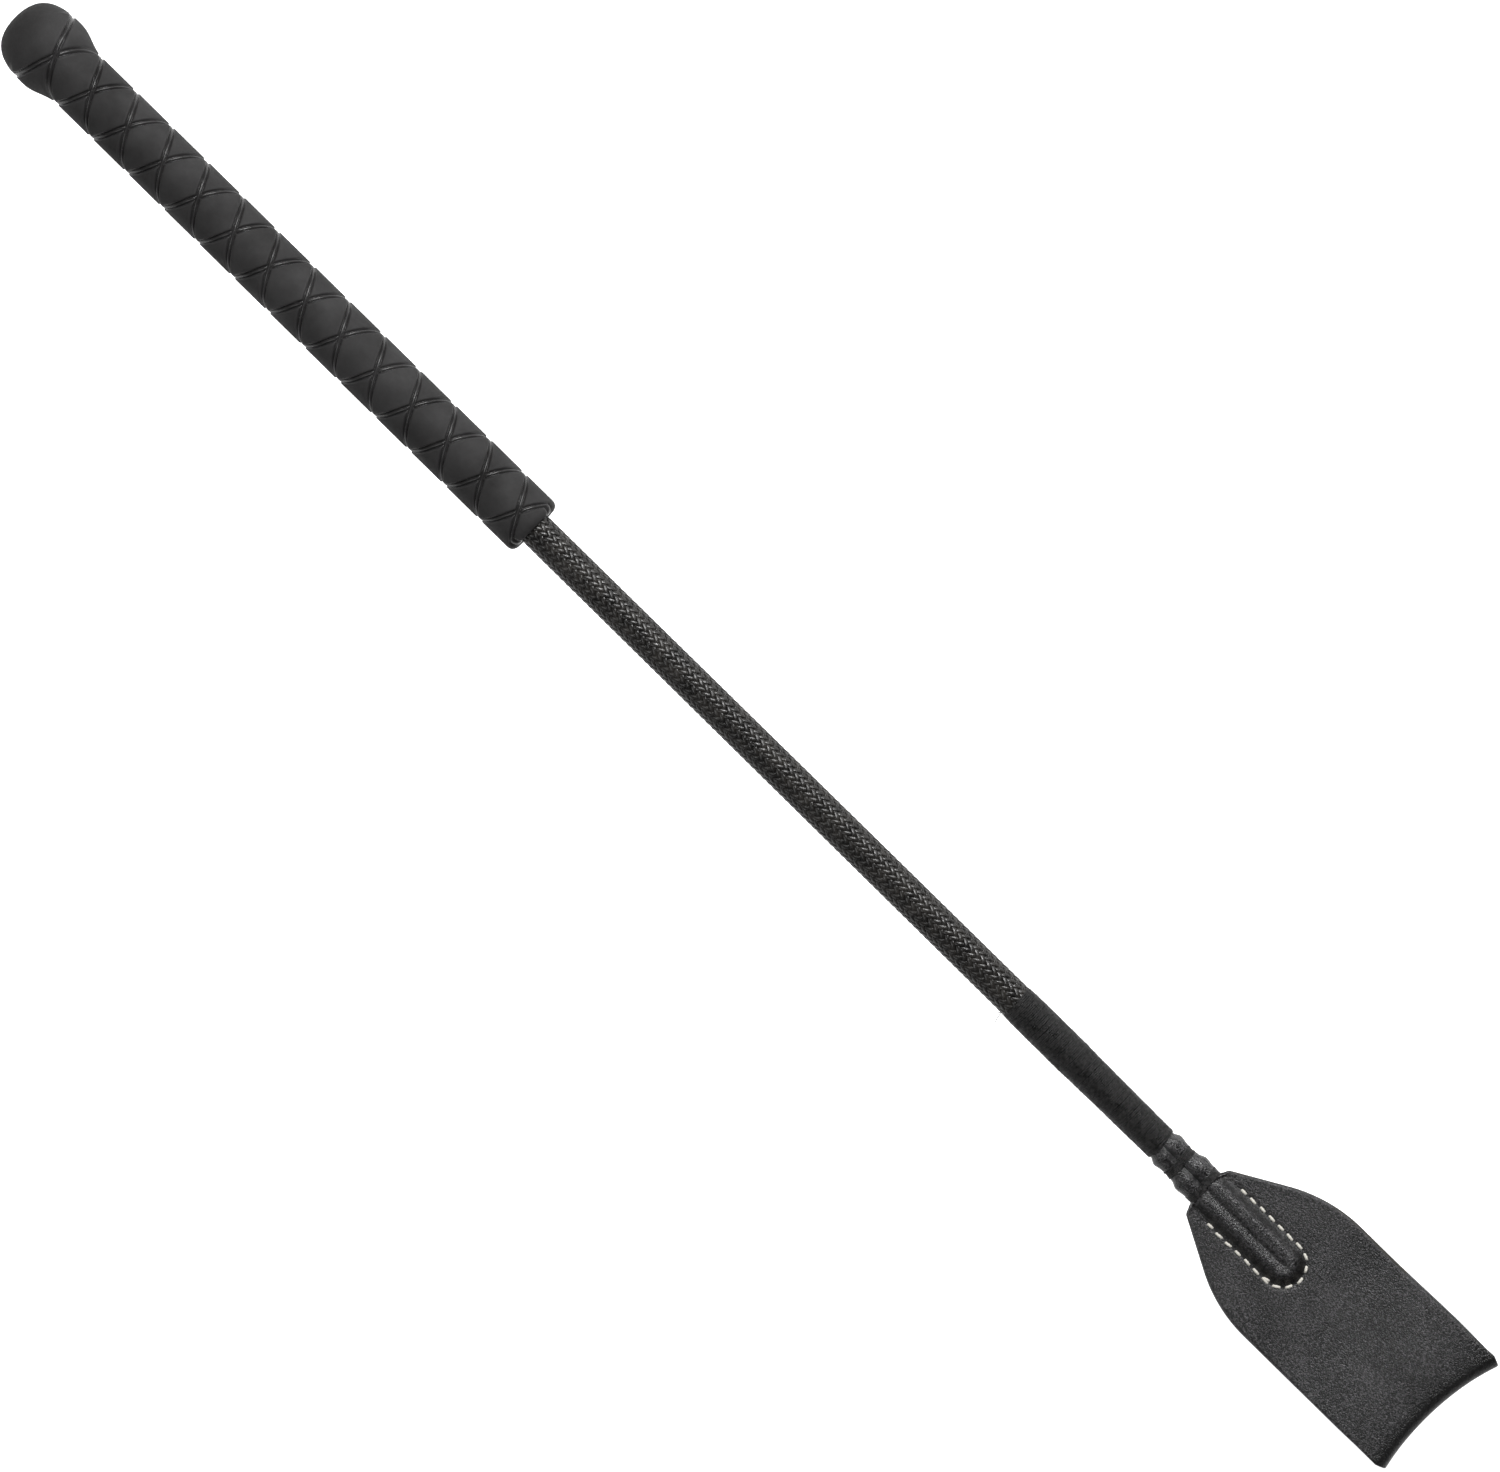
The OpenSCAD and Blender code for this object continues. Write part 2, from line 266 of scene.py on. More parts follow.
def rubber_finish():
    """Matte charcoal rubber with faint smudges and a fine moulded grain, shinier in its grooves."""
    finish = Finish("moulded_rubber", (0.021, 0.021, 0.022), 0.5, Specular_IOR_Level=0.42)
    place = finish.place()
    smudges = finish.noise(place, 60, 5, 0.6)
    tones = [(0.3, (0.016, 0.0153, 0.0153)), (0.7, (0.036, 0.035, 0.0355))]
    finish.use("Base Color", finish.ramp(smudges, tones))
    groove = finish.mark()
    dulled = finish.levels(finish.noise(place, 130, 5, 0.65), 0.70, 0.90, 0.3, 0.7)
    finish.use("Roughness", finish.sum(dulled, groove, -0.60))
    finish.bump(finish.noise(place, 1900, 4, 0.7), 0.09 * MM, 0.8)
    return finish.material


def nylon_finish():
    """Glossy black nylon strands, each a flat bundle of fine filaments."""
    finish = Finish("braided_nylon", (0.010, 0.009, 0.009), 0.3, Specular_IOR_Level=0.5)
    filaments = finish.noise(finish.place((8, 900, 1), "UV"), 1, 2, 0.6)
    fuzz = finish.noise(finish.place(), 240, 3)
    tones = [(0.35, (0.005, 0.0044, 0.004)), (0.65, (0.026, 0.0235, 0.021))]
    finish.use("Base Color", finish.ramp(fuzz, tones))
    finish.use("Roughness", finish.levels(filaments, 0.15, 0.44, 0.3, 0.7))
    finish.bump(filaments, 0.08 * MM, 0.8)
    return finish.material


def thread_finish():
    """Waxed black thread, twisted from fine filaments and a little furred."""
    finish = Finish("waxed_thread", (0.008, 0.0075, 0.0075), 0.5, Specular_IOR_Level=0.34)
    place = finish.place()
    worn = finish.noise(place, 420, 5, 0.75)
    fur = finish.noise(place, 1100, 3, 0.85)
    tones = [(0.68, (0.0008, 0.0008, 0.0008)), (0.86, (0.030, 0.029, 0.029))]
    finish.use("Base Color", finish.ramp(finish.sum(fur, worn, 0.5), tones))
    finish.use("Roughness", finish.levels(worn, 0.24, 0.75, 0.38, 0.62))
    finish.bump(fur, 0.34 * MM, 1.0)
    return finish.material


def leather_finish():
    """Black grained leather, glossy where it is rubbed, and darkened by painted shade at the foot of the
    stub, on top of the neck and at the fold.
    """
    finish = Finish("black_leather", (0.016, 0.016, 0.018), 0.38, Specular_IOR_Level=0.6)
    place = finish.place()
    pebbles = finish.add("ShaderNodeTexVoronoi", Vector=place, Scale=2000.0).outputs["Distance"]
    pores = finish.noise(place, 1450, 3, 0.8)
    patches = finish.noise(place, 70, 5, 0.65)
    wear_and_shade = finish.mark()
    # Painted shade: where the mark is below 0 the colour darkens, most at the fold, along the stub's foot and
    # on top of the neck.
    painted_shade = finish.levels(wear_and_shade, -0.20, 0, FOLD_PAINTED_SHADE, 0)
    dye_and_shade = finish.sum(finish.sum(pores, patches, 0.2), painted_shade)
    tones = [(0.50, (0.003, 0.003, 0.003)), (0.60, (0.010, 0.010, 0.0105)), (0.71, (0.084, 0.081, 0.085))]
    finish.use("Base Color", finish.ramp(dye_and_shade, tones))
    gloss = finish.levels(patches, 0.27, 0.40, 0.3, 0.7)
    rubbed = finish.levels(wear_and_shade, 0, 1)
    finish.use("Roughness", finish.sum(gloss, rubbed, -0.17))
    finish.bump(finish.sum(pores, pebbles, -0.7), 0.19 * MM, 1.0)
    return finish.material


def cut_edge_finish():
    """The leather's cut edge, where the fibres show under the dye."""
    finish = Finish("cut_edge", (0.035, 0.03, 0.027), 0.85)
    fibres = finish.noise(finish.place((1, 1, 5)), 900, 5, 0.7)
    tones = [(0.35, (0.018, 0.016, 0.014)), (0.7, (0.085, 0.076, 0.066))]
    finish.use("Base Color", finish.ramp(fibres, tones))
    finish.bump(fibres, 0.15 * MM, 0.9)
    return finish.material


def seam_finish():
    """Cream polyester thread with a ply twist."""
    finish = Finish("seam_thread", (0.78, 0.76, 0.69), 0.6, Specular_IOR_Level=0.35)
    ply = finish.noise(finish.place((14, 5, 1), "UV", (0, 0, 0.6)), 1, 2, 0.5)
    finish.use("Base Color", finish.ramp(ply, [(0.3, (0.68, 0.65, 0.57)), (0.65, (0.90, 0.88, 0.81))]))
    finish.bump(ply, 0.12 * MM, 0.8)
    return finish.material


def hidden_finish(name, light, dark, scale, roughness, stretch=(1, 1, 1)):
    """Finish of a piece inside the crop, mottled between two tones."""
    finish = Finish(name, light, roughness)
    grain = finish.noise(finish.place(stretch), scale, 4, 0.6)
    finish.use("Base Color", finish.ramp(grain, [(0.3, dark), (0.7, light)]))
    finish.use("Roughness", finish.levels(grain, roughness - 0.1, min(1, roughness + 0.1), 0.3, 0.7))
    finish.bump(grain, 0.1 * MM, 0.5)
    return finish.material


RUBBER = rubber_finish()
NYLON = nylon_finish()
THREAD = thread_finish()
LEATHER = leather_finish()
CUT_EDGE = cut_edge_finish()
SEAM = seam_finish()


# ---------------------------------------------------------------- rubber grip

GRIP_R = 10.35 * MM
# Length of the knob's dome and of the flare behind it, and how square the dome is
KNOB_DOME = 15.9 * MM
KNOB_FLARE = 12.1 * MM
KNOB_POWER = 2.8
# Rounding, bore, chamfer and open depth of the grip's mouth
GRIP_EDGE = 2.3 * MM
GRIP_BORE = SHAFT_R + 0.15 * MM
MOUTH_CHAMFER = 0.3 * MM
MOUTH_INSET = 0.05 * MM
MOUTH_DEPTH = 6 * MM
# The pattern: its first crossing from the knob's end, the distance between crossings, its units round
# the grip, and its units along it, some of them before the first crossing
FIRST_CROSS = 19.6 * MM
CROSS_PITCH = 15.72 * MM
UNITS_ROUND = 2
UNITS_BEFORE = 5
UNITS_ALONG = 33
# Over the dome the pattern is laid out by distance along the surface from here, measured in steps
DOME_START = 11 * MM
DOME_STEPS = 400
# Where the dome's plain end takes over from the pattern, and its rings as shares of the radius there
DOME_CUT = 1.0 * MM
DOME_RINGS = [0.86, 0.7, 0.54, 0.38, 0.24, 0.12, 0.04]
# The grooves and their shine fade in between these distances from the knob's end
GROOVE_FADE = (10.0 * MM, 12.5 * MM)
SHINE_FADE = (9.0 * MM, 12.0 * MM)
# Distances in mm from the middle of a groove to the grid lines across it and the panel beside it
GROOVE_LINES = [0, 0.2, 0.36, 0.47, 0.56, 0.66, 0.78, 0.92, 1.08, 1.3, 1.8, 3.0, 4.4, 5.8]
# Width in mm of one pattern unit, straight across its grooves
ACROSS_UNIT = 14.2
# Half widths in mm of the groove's floor, its mouth, its shine and the cord in its middle
FLOOR_HALF = 0.56
GROOVE_HALF = 1.25
SHINE_HALF = (0.7, 1.4)
BEAD_R = 0.5
GROOVE_DEPTH = 0.85 * MM
BEAD_DROP = 0.3 * MM
# How deep, and between which distances in mm, the under cord dives below the one that crosses it
DIVE_DEPTH = 0.6 * MM
DIVE_SPAN = (0.5, 1.1)


def dome_radius(x):
    """Radius of the dome at a distance from the knob's end."""
    return KNOB_R * (1 - (1 - x / KNOB_DOME) ** KNOB_POWER) ** (1 / KNOB_POWER)


def dome_depth(radius):
    """Distance from the knob's end to where the dome has a radius."""
    return KNOB_DOME * (1 - (1 - (radius / KNOB_R) ** KNOB_POWER) ** (1 / KNOB_POWER))


def dome_curve():
    """The dome's points from DOME_START back to its end, with the distance run along the surface."""
    power = 2 / KNOB_POWER
    curve = []
    run = 0
    last = None
    for step in range(DOME_STEPS + 1):
        angle = max(0, pi / 2 * (1 - step / DOME_STEPS))
        x = KNOB_DOME * (1 - cos(angle) ** power)
        radius = KNOB_R * sin(angle) ** power
        if x <= DOME_START:
            if last:
                run += hypot(x - last[0], radius - last[1])
            last = (x, radius)
            curve.append((run, x, radius))
    return curve


DOME = dome_curve()
DOME_RUNS = [run for run, x, radius in DOME]


def grip_profile(run):
    """Distance from the knob's end and radius, at a run along the grip's surface from DOME_START."""
    x = DOME_START + run
    if run <= -DOME_RUNS[-1]:
        return DOME[-1][1:]
    if run < 0:
        high = bisect_left(DOME_RUNS, -run)
        start, start_x, start_radius = DOME[high - 1]
        stop, stop_x, stop_radius = DOME[high]
        part = (-run - start) / (stop - start)
        return mix(start_x, stop_x, part), mix(start_radius, stop_radius, part)
    if x < KNOB_DOME:
        return x, dome_radius(x)
    if x < KNOB_DOME + KNOB_FLARE:
        return x, GRIP_R + (KNOB_R - GRIP_R) * (1 + cos(pi * (x - KNOB_DOME) / KNOB_FLARE)) / 2
    return x, GRIP_R


def unit_lines():
    """Grid lines of one pattern unit, from one groove's middle to just before the next."""
    half = [line / ACROSS_UNIT for line in GROOVE_LINES]
    return half + [0.5] + [1 - line for line in reversed(half[1:])]


UNIT_LINES = unit_lines()
LINES = len(UNIT_LINES)


def line_at(index):
    """Place of a grid line, counted in pattern units."""
    return floor(index / LINES) + UNIT_LINES[index % LINES]


def off_groove(value):
    """Distance in mm from the nearest groove's middle."""
    return abs(value - round(value)) * ACROSS_UNIT


def groove_floor(off):
    """Depth of a groove at a distance from its middle, below 0 inside it."""
    return -GROOVE_DEPTH * (1 - smooth(FLOOR_HALF, GROOVE_HALF, off))


def bead_top(off):
    """Height of the cord in a groove's middle, or far below where there is none."""
    if off >= BEAD_R:
        return -1
    return sqrt(BEAD_R ** 2 - off ** 2) * MM - BEAD_R * MM - BEAD_DROP


def pattern_height(over, under):
    """Height of the moulded surface, at distances from the cord that lies over and the one under it."""
    height = min(groove_floor(over), groove_floor(under))
    height = max(height, bead_top(over))
    dive = DIVE_DEPTH * (1 - smooth(*DIVE_SPAN, over))
    return max(height, bead_top(under) - dive)


def rubber_grip():
    """The grip in one moulding: a grid in step with its slanting grooves, closed at both ends."""
    bm = new_mesh()

    def spot(column, row):
        p = line_at(column)
        q = line_at(row - UNITS_BEFORE * LINES)
        return p, q, grip_profile(FIRST_CROSS - DOME_START + CROSS_PITCH * (p + q) / 2)

    def place(column, row):
        p, q, (x, radius) = spot(column, row)
        height = pattern_height(off_groove(q), off_groove(p)) * smooth(*GROOVE_FADE, x)
        return around(KNOB_END + x, radius + height, pi * (q - p) / 2)

    def shine(column, row):
        p, q, (x, radius) = spot(column, row)
        return (1 - smooth(*SHINE_HALF, min(off_groove(p), off_groove(q)))) * smooth(*SHINE_FADE, x)

    add_grid(bm, UNITS_ROUND * LINES, UNITS_ALONG * LINES, place, shine)
    bmesh.ops.remove_doubles(bm, verts=bm.verts, dist=0.01 * MM)
    cut_low = KNOB_END + DOME_CUT
    cut_high = GRIP_END - GRIP_EDGE
    for cut, side in ((cut_low, -1), (cut_high, 1)):
        bmesh.ops.bisect_plane(bm, geom=bm.verts[:] + bm.edges[:] + bm.faces[:], dist=0.001 * MM,
                               plane_co=(cut, 0, 0), plane_no=(side, 0, 0), clear_outer=True)
    close_ring(bm, cut_low, dome_rings())
    close_ring(bm, cut_high, mouth_rings())
    return finish_piece("rubber_grip_moulding", bm, [RUBBER], "crop", ["rubber_grip"])


def close_ring(bm, x, rings):
    """Extrudes the open ring at x through rings of (place, new radius from the old), and closes it."""
    edges = [e for e in bm.edges if e.is_boundary and all(abs(v.co.x - x) < 0.05 * MM for v in e.verts)]
    for place_x, new_radius in rings:
        made = bmesh.ops.extrude_edge_only(bm, edges=edges)["geom"]
        edges = [g for g in made if isinstance(g, bmesh.types.BMEdge)]
        for vert in [g for g in made if isinstance(g, bmesh.types.BMVert)]:
            radius = hypot(vert.co.y, vert.co.z)
            share = new_radius(radius) / radius
            vert.co = (place_x, vert.co.y * share, vert.co.z * share)
    bmesh.ops.contextual_create(bm, geom=edges)


def dome_rings():
    """Rings that carry the dome on from the cut to its end."""
    rings = []
    for share in DOME_RINGS:
        radius = dome_radius(DOME_CUT) * share
        rings.append((KNOB_END + dome_depth(radius), lambda old, radius=radius: radius))
    return rings


def mouth_rings():
    """Rings round the grip's open end and into its bore."""
    rings = []
    last = 0
    for angle in range(15, 91, 15):
        drop = GRIP_EDGE * (1 - cos(radians(angle)))
        step = drop - last
        last = drop
        rings.append((GRIP_END - GRIP_EDGE * (1 - sin(radians(angle))), lambda old, step=step: old - step))
    rings.append((GRIP_END - MOUTH_INSET, lambda old: GRIP_BORE + MOUTH_CHAMFER))
    rings.append((GRIP_END - MOUTH_INSET - MOUTH_CHAMFER, lambda old: GRIP_BORE))
    rings.append((GRIP_END - MOUTH_DEPTH, lambda old: GRIP_BORE))
    return rings


# ---------------------------------------------------------------- braided cover

# Strands each way round, and the length in which one of them goes round once
STRANDS = 20
BRAID_LEAD = 50 * MM
CROSSINGS = 2 * STRANDS
RINGS_PER_CROSSING = 3
STRAND_WIDTH = 1.52 * MM
STRAND_THICK = 0.46 * MM
# How far a strand rises and falls from its middle height, and how flat it runs between its dives
STRAND_LIFT = 0.2 * MM
STRAND_FLATNESS = 0.6
STRAND_SIDES = 8
# How much the strands stray from their places, as a share of their spacing, and differ in width
STRAND_STRAY = 0.02
STRAND_SIZES = (0.96, 1.03)
# How much thinner and thicker the braid is at the grip and at the whipping
BRAID_SWELL = 0.1 * MM
BRAID_START = GRIP_END - 4 * MM
BRAID_END = WHIP_START + 3 * MM
LINING_BORE = 3.6 * MM
LINING_R = 5.0 * MM
LINING_SEGMENTS = 48
LINING_END = WHIP_END - 1 * MM


def braid_radius(x):
    """Radius over the braid, which thickens a little towards the whipping."""
    return SHAFT_R + mix(-BRAID_SWELL, BRAID_SWELL, (x - GRIP_END) / (WHIP_START - GRIP_END))


def braid_strands(name, hand):
    """All the strands that run one way round the shaft, each over two and under two of the others."""
    bm = new_mesh()
    count = round((BRAID_END - BRAID_START) / BRAID_LEAD * CROSSINGS * RINGS_PER_CROSSING)
    slope = atan(2 * pi * SHAFT_R / BRAID_LEAD)
    for strand in range(STRANDS):
        wander = random.Random(strand * 2 + (hand > 0))
        shift = wander.uniform(-STRAND_STRAY, STRAND_STRAY)
        size = wander.uniform(*STRAND_SIZES)

        def place(column, row):
            x = mix(BRAID_START, BRAID_END, row / count)
            angle = 2 * pi * ((strand + shift) / STRANDS + hand * (x - GRIP_END) / BRAID_LEAD)
            crossing = 2 * strand + hand * CROSSINGS * (x - GRIP_END) / BRAID_LEAD
            wave = cos(pi / 2 * (crossing - 0.5)) * hand
            lift = STRAND_LIFT * (abs(wave) ** STRAND_FLATNESS) * (1 if wave > 0 else -1)
            side = 2 * pi * column / STRAND_SIDES
            radial = Vector((0, sin(angle), cos(angle)))
            tangent = Vector((0, cos(angle), -sin(angle)))
            broad = Vector((-hand * sin(slope), 0, 0)) + tangent * cos(slope)
            middle = braid_radius(x) - STRAND_LIFT - STRAND_THICK / 2 + lift
            return (Vector((x, 0, 0)) + radial * (middle + STRAND_THICK / 2 * sin(side))
                    + broad * (STRAND_WIDTH * size / 2 * cos(side)))

        add_grid(bm, STRAND_SIDES, count, place)
    nodes = ["braided_cover"] if hand > 0 else []
    return finish_piece(name, bm, [NYLON], "crop", nodes)


def cover_lining():
    """Plain dark tube under the braid, so that no gap shows through."""
    bm = new_mesh()
    outline = [(BRAID_START, LINING_BORE), (BRAID_START, LINING_R),
               (LINING_END, LINING_R), (LINING_END, LINING_BORE)]

    def place(column, row):
        x, radius = outline[row]
        return around(x, radius, 2 * pi * column / LINING_SEGMENTS)

    add_grid(bm, LINING_SEGMENTS, len(outline) - 1, place)
    bmesh.ops.holes_fill(bm, edges=[e for e in bm.edges if e.is_boundary], sides=0)
    return finish_piece("cover_lining", bm, [NYLON], "crop")


# ---------------------------------------------------------------- whipping and bindings

THREAD_WIDTH = 0.64 * MM
THREAD_THICK = 0.38 * MM
THREAD_SIDES = 8
# Half width of a turn as a share of the spacing: a little over a half, so that the turns press together
THREAD_HALF = 0.56
# How unevenly it is wound, sideways and up and down, as shares of its width and thickness, and how often
# in a turn
THREAD_WOBBLE = 0.11
THREAD_RISE = 0.16
WOBBLES = 3
WHIPPING_STEPS = 40
BINDING_STEPS = 64
# How far the bindings stand out of the leather
BINDING_PROUD = 0.2 * MM


def wound_thread(bm, start, end, radius_at, steps, wander):
    """Winds a thread from one place to another, with its top at radius_at(place, angle)."""
    turns = round((end - start) / THREAD_WIDTH)
    count = turns * steps
    knots = WOBBLES * turns + WOBBLES
    wobble = [wander.uniform(-THREAD_WOBBLE, THREAD_WOBBLE) for _ in range(knots)]
    height = [wander.uniform(-THREAD_RISE, THREAD_RISE) for _ in range(knots)]
    first = start + THREAD_WIDTH / 2
    last = end - THREAD_WIDTH / 2

    def place(column, row):
        turn = row / steps
        angle = 2 * pi * turn
        low = min(knots - 2, int(WOBBLES * turn))
        part = smooth(0, 1, WOBBLES * turn - low)
        x = mix(first, last, row / count) + mix(wobble[low], wobble[low + 1], part) * THREAD_WIDTH
        rise = mix(height[low], height[low + 1], part) * THREAD_THICK
        side = 2 * pi * column / THREAD_SIDES
        radius = radius_at(x, angle) - THREAD_THICK / 2 + rise + THREAD_THICK / 2 * sin(side)
        return around(x + THREAD_WIDTH * THREAD_HALF * cos(side), radius, angle)

    add_grid(bm, THREAD_SIDES, count, place)


# Profile of the whipping in mm: distance from its start, and how far it lies under its greatest radius
WHIP_SHAPE = [(0, -0.33), (3.5, -0.12), (11, -0.06), (26, -0.06), (32, -0.24), (45, -0.39), (65.4, -0.55)]


def whipping_radius(x, angle):
    """Radius over the whipping, the same at every angle."""
    return WHIP_R + along_points(WHIP_SHAPE, (x - WHIP_START) / MM) * MM


def main_whipping():
    """Thread wound round the end of the braid."""
    bm = new_mesh()
    wound_thread(bm, WHIP_START, WHIP_END, whipping_radius, WHIPPING_STEPS, random.Random(11))
    return finish_piece("whipping_thread", bm, [THREAD], "crop", ["main_whipping"])


# The loose end's hairs: how many, their radius, sides and steps, and the angle in degrees where they are
HAIRS = 5
HAIR_R = 0.11 * MM
HAIR_SIDES = 5
HAIR_STEPS = 10
HAIR_ANGLE = 252


def loose_end():
    """Frayed end of the whipping's thread, where the winding starts."""
    bm = new_mesh()
    wander = random.Random(4)
    for _ in range(HAIRS):
        angle = radians(HAIR_ANGLE + wander.uniform(-9, 9))
        length = wander.uniform(2.2, 4.2) * MM
        lean = wander.uniform(-0.9, 0.3)
        curl = wander.uniform(-0.5, 0.5)
        start = WHIP_START + wander.uniform(-0.4, 0.5) * MM

        def place(column, row):
            part = row / HAIR_STEPS
            out = length * part * cos(lean)
            slide = length * (part * sin(lean) + curl * part * part)
            turned = angle + 0.25 * part * curl
            thick = HAIR_R * (1 - 0.6 * part)
            side = 2 * pi * column / HAIR_SIDES
            centre = around(start + slide * 0.6, SHAFT_R + 0.1 * MM + out, turned)
            across = Vector((0, cos(turned), -sin(turned)))
            return centre + Vector((cos(side), 0, 0)) * thick + across * thick * sin(side)

        add_grid(bm, HAIR_SIDES, HAIR_STEPS, place)
    return finish_piece("whipping_loose_end", bm, [THREAD], "crop")


# ---------------------------------------------------------------- leather tongue

# Thickness of the leather, half the gap between its two leaves, and height of the upper leaf's face
LEATHER_T = 1.3 * MM
LAYER_GAP = 0.05 * MM
PLATE_Z = LEATHER_T + LAYER_GAP
# Where the cord loop between the leaves starts to turn back
LOOP_TURN = LOOP_END - 5.05 * MM
# The seam's distance from the loop's middle line, where it starts, and the groove it draws in the leather
SEAM_R = 7.7 * MM
SEAM_START = TONGUE_START + 7.1 * MM
SEAM_FADE = 2 * MM
SEAM_DRAW = 0.28 * MM
SEAM_DRAW_HALF = 0.75 * MM
# The stub that the loop raises: its height, how far out it stays flat, and where it ends
STUB_Z = 4.1 * MM
STUB_FLAT = 3.1 * MM
STUB_FOOT = 7.1 * MM
# The groove between the two cords, as a share of the stub's height, with its place and half width
CORD_GROOVE = 0.30
CORD_GROOVE_Y = -0.45 * MM
CORD_GROOVE_HALF = 1.0 * MM
# The leather's waves: how many to the metre, their height in mm, and a layer of the noise for each
WAVES = [(38, 0.30, 2.3), (120, 0.08, 7.1)]
# Sections of the neck in mm: place, half distance between the two cords, radius of the leather round each
NECK = [(-2.0, 0.6, 4.5), (0.0, 1.2, 4.1), (2.6, 1.9, 4.55), (5.4, 1.9, 4.1), (7.8, 1.9, 3.75),
        (10.2, 2.1, 4.0), (13.0, 2.65, 4.5), (16.2, 2.65, 4.1), (18.4, 2.65, 3.85), (20.5, 2.65, 3.95)]
NECK_START = WHIP_END
NECK_HALF = NECK[-1][1] + NECK[-1][2]
# Angle in degrees from the top to where the two leaves meet on the neck's +Y side
NECK_EDGE = 68
# Outline of the +Y and the -Y side in mm: half width at the root, slope of the flare in degrees,
# radius of the shoulder, and half width beyond it
LEFT_OUTLINE = (8.2, 29.4, 52, 25.45)
RIGHT_OUTLINE = (9.4, 28.0, 50, 24.85)
# How much wider the +Y side grows, and between which distances from the tongue's start, in mm
LEFT_SPREAD = 0.75
LEFT_SPREAD_SPAN = (55, 92)
# Where the neck's width turns into the tongue's, in mm from the tongue's start
ROOT_SPAN = (-2.6, 1.3)


def neck_section(x):
    """Half distance between the two cords and radius of the leather round each, at a place on the neck."""
    at = (x - NECK_START) / MM
    return (along_points([(p, c) for p, c, r in NECK], at) * MM,
            along_points([(p, r) for p, c, r in NECK], at) * MM)


def neck_radius(x, angle, sunk=1.0):
    """Distance from the axis to the neck, which dips between the cords by a share of the full depth.

    Angle 0 is up, and 90 degrees is towards +Y.
    """
    apart, radius = neck_section(x)
    across, up = abs(sin(angle)), abs(cos(angle))
    round_cord = apart * across + sqrt(max(0, radius ** 2 - (apart * up) ** 2))
    if radius * across >= apart * up:
        return round_cord
    return mix(radius / up, round_cord, sunk)


def tongue_half(x, side):
    """Half width of the tongue at x, on the +Y side (1) or the -Y side (-1)."""
    root, slope, shoulder, full = LEFT_OUTLINE if side > 0 else RIGHT_OUTLINE
    at = (x - TONGUE_START) / MM
    turn = radians(slope)
    rise = full - root - shoulder * (1 - cos(turn))
    straight = rise / tan(turn)
    if at < straight:
        half = root + max(0, at) * tan(turn)
    elif at < straight + shoulder * sin(turn):
        over = straight + shoulder * sin(turn) - at
        half = full - shoulder + sqrt(shoulder ** 2 - over ** 2)
    else:
        half = full
    if side > 0:
        half += LEFT_SPREAD * smooth(*LEFT_SPREAD_SPAN, at)
    return mix(NECK_HALF, half, smooth(*ROOT_SPAN, at)) * MM


def loop_distance(x, y):
    """Distance from the line up the middle of the cord loop, round its end too."""
    return abs(y) if x < LOOP_TURN else hypot(x - LOOP_TURN, y)


def tongue_height(x, y):
    """Height of the tongue's upper face over its middle plane."""
    off = loop_distance(x, y)
    swell = 0.5 * (1 + cos(pi * min(1, max(0, (off - STUB_FLAT) / (STUB_FOOT - STUB_FLAT)))))
    groove = CORD_GROOVE * dip(y - CORD_GROOVE_Y, CORD_GROOVE_HALF)
    groove *= 1 - smooth(LOOP_TURN - 1 * MM, LOOP_TURN + 3.5 * MM, x)
    height = PLATE_Z + (STUB_Z - PLATE_Z) * swell * (1 - groove)
    height -= SEAM_DRAW * dip(off - SEAM_R, SEAM_DRAW_HALF) * smooth(SEAM_START - SEAM_FADE, SEAM_START, x)
    spread = smooth(BEND.x + 4 * MM, TONGUE_END - 12 * MM, x)
    height += (FOLD_R - PLATE_Z) * spread
    waves = sum(noise.noise(Vector((x * count, y * count, layer))) * high for count, high, layer in WAVES)
    return height + waves * MM * smooth(TONGUE_START, TONGUE_START + 8 * MM, x)


# The folded end is hollow: its shallowest place, how far across that is in mm, and how fast it deepens
TIP_LOW = TONGUE_END - 4.4 * MM
TIP_LOW_Y = -4.8
TIP_CURVE = 0.00504
FOLD_CENTRE = TIP_LOW - FOLD_R


def tip_reach(y):
    """How much further the folded end reaches at y than at its shallowest place."""
    return TIP_CURVE * (y / MM - TIP_LOW_Y) ** 2 * MM


# How far the lower leaf shows past the upper one on each side, and how much more towards the +Y corner
UNDER_LEAF_MORE = 0.3 * MM
CORNER_LIP = 0.55 * MM
# How the leather's edges are rounded: how deep, and how far in mm from the edge
EDGE_DROP = 0.30 * MM
EDGE_REACH = 0.45
# How much the corners of the fold are pulled in, as a share of the width
FOLD_PULL = 0.05
# Height of the creases in the bound neck
CREASE = 0.10 * MM
# Columns of the leather's grid from its middle to each edge, closer together towards the edge
INNER_COLUMNS = 26
OUTER_COLUMNS = 16
HALF_COLUMNS = INNER_COLUMNS + OUTER_COLUMNS
INNER_REACH = 9.0 * MM
EDGE_CROWDING = 1.35
# Distances between rows over the loop and beyond it, and degrees between rows round the fold
FINE_ROW = 0.6 * MM
COARSE_ROW = 1.2 * MM
FOLD_ROW = 15


def column_y(x, share, side):
    """Place across the tongue of a grid column, from the middle (0) to the edge (1)."""
    half = tongue_half(x, side)
    inner = min(INNER_REACH, 0.9 * half)
    split = INNER_COLUMNS / HALF_COLUMNS
    if share <= split:
        return inner * share / split
    part = (share - split) / (1 - split)
    return mix(inner, half, 1 - (1 - part) ** EDGE_CROWDING)


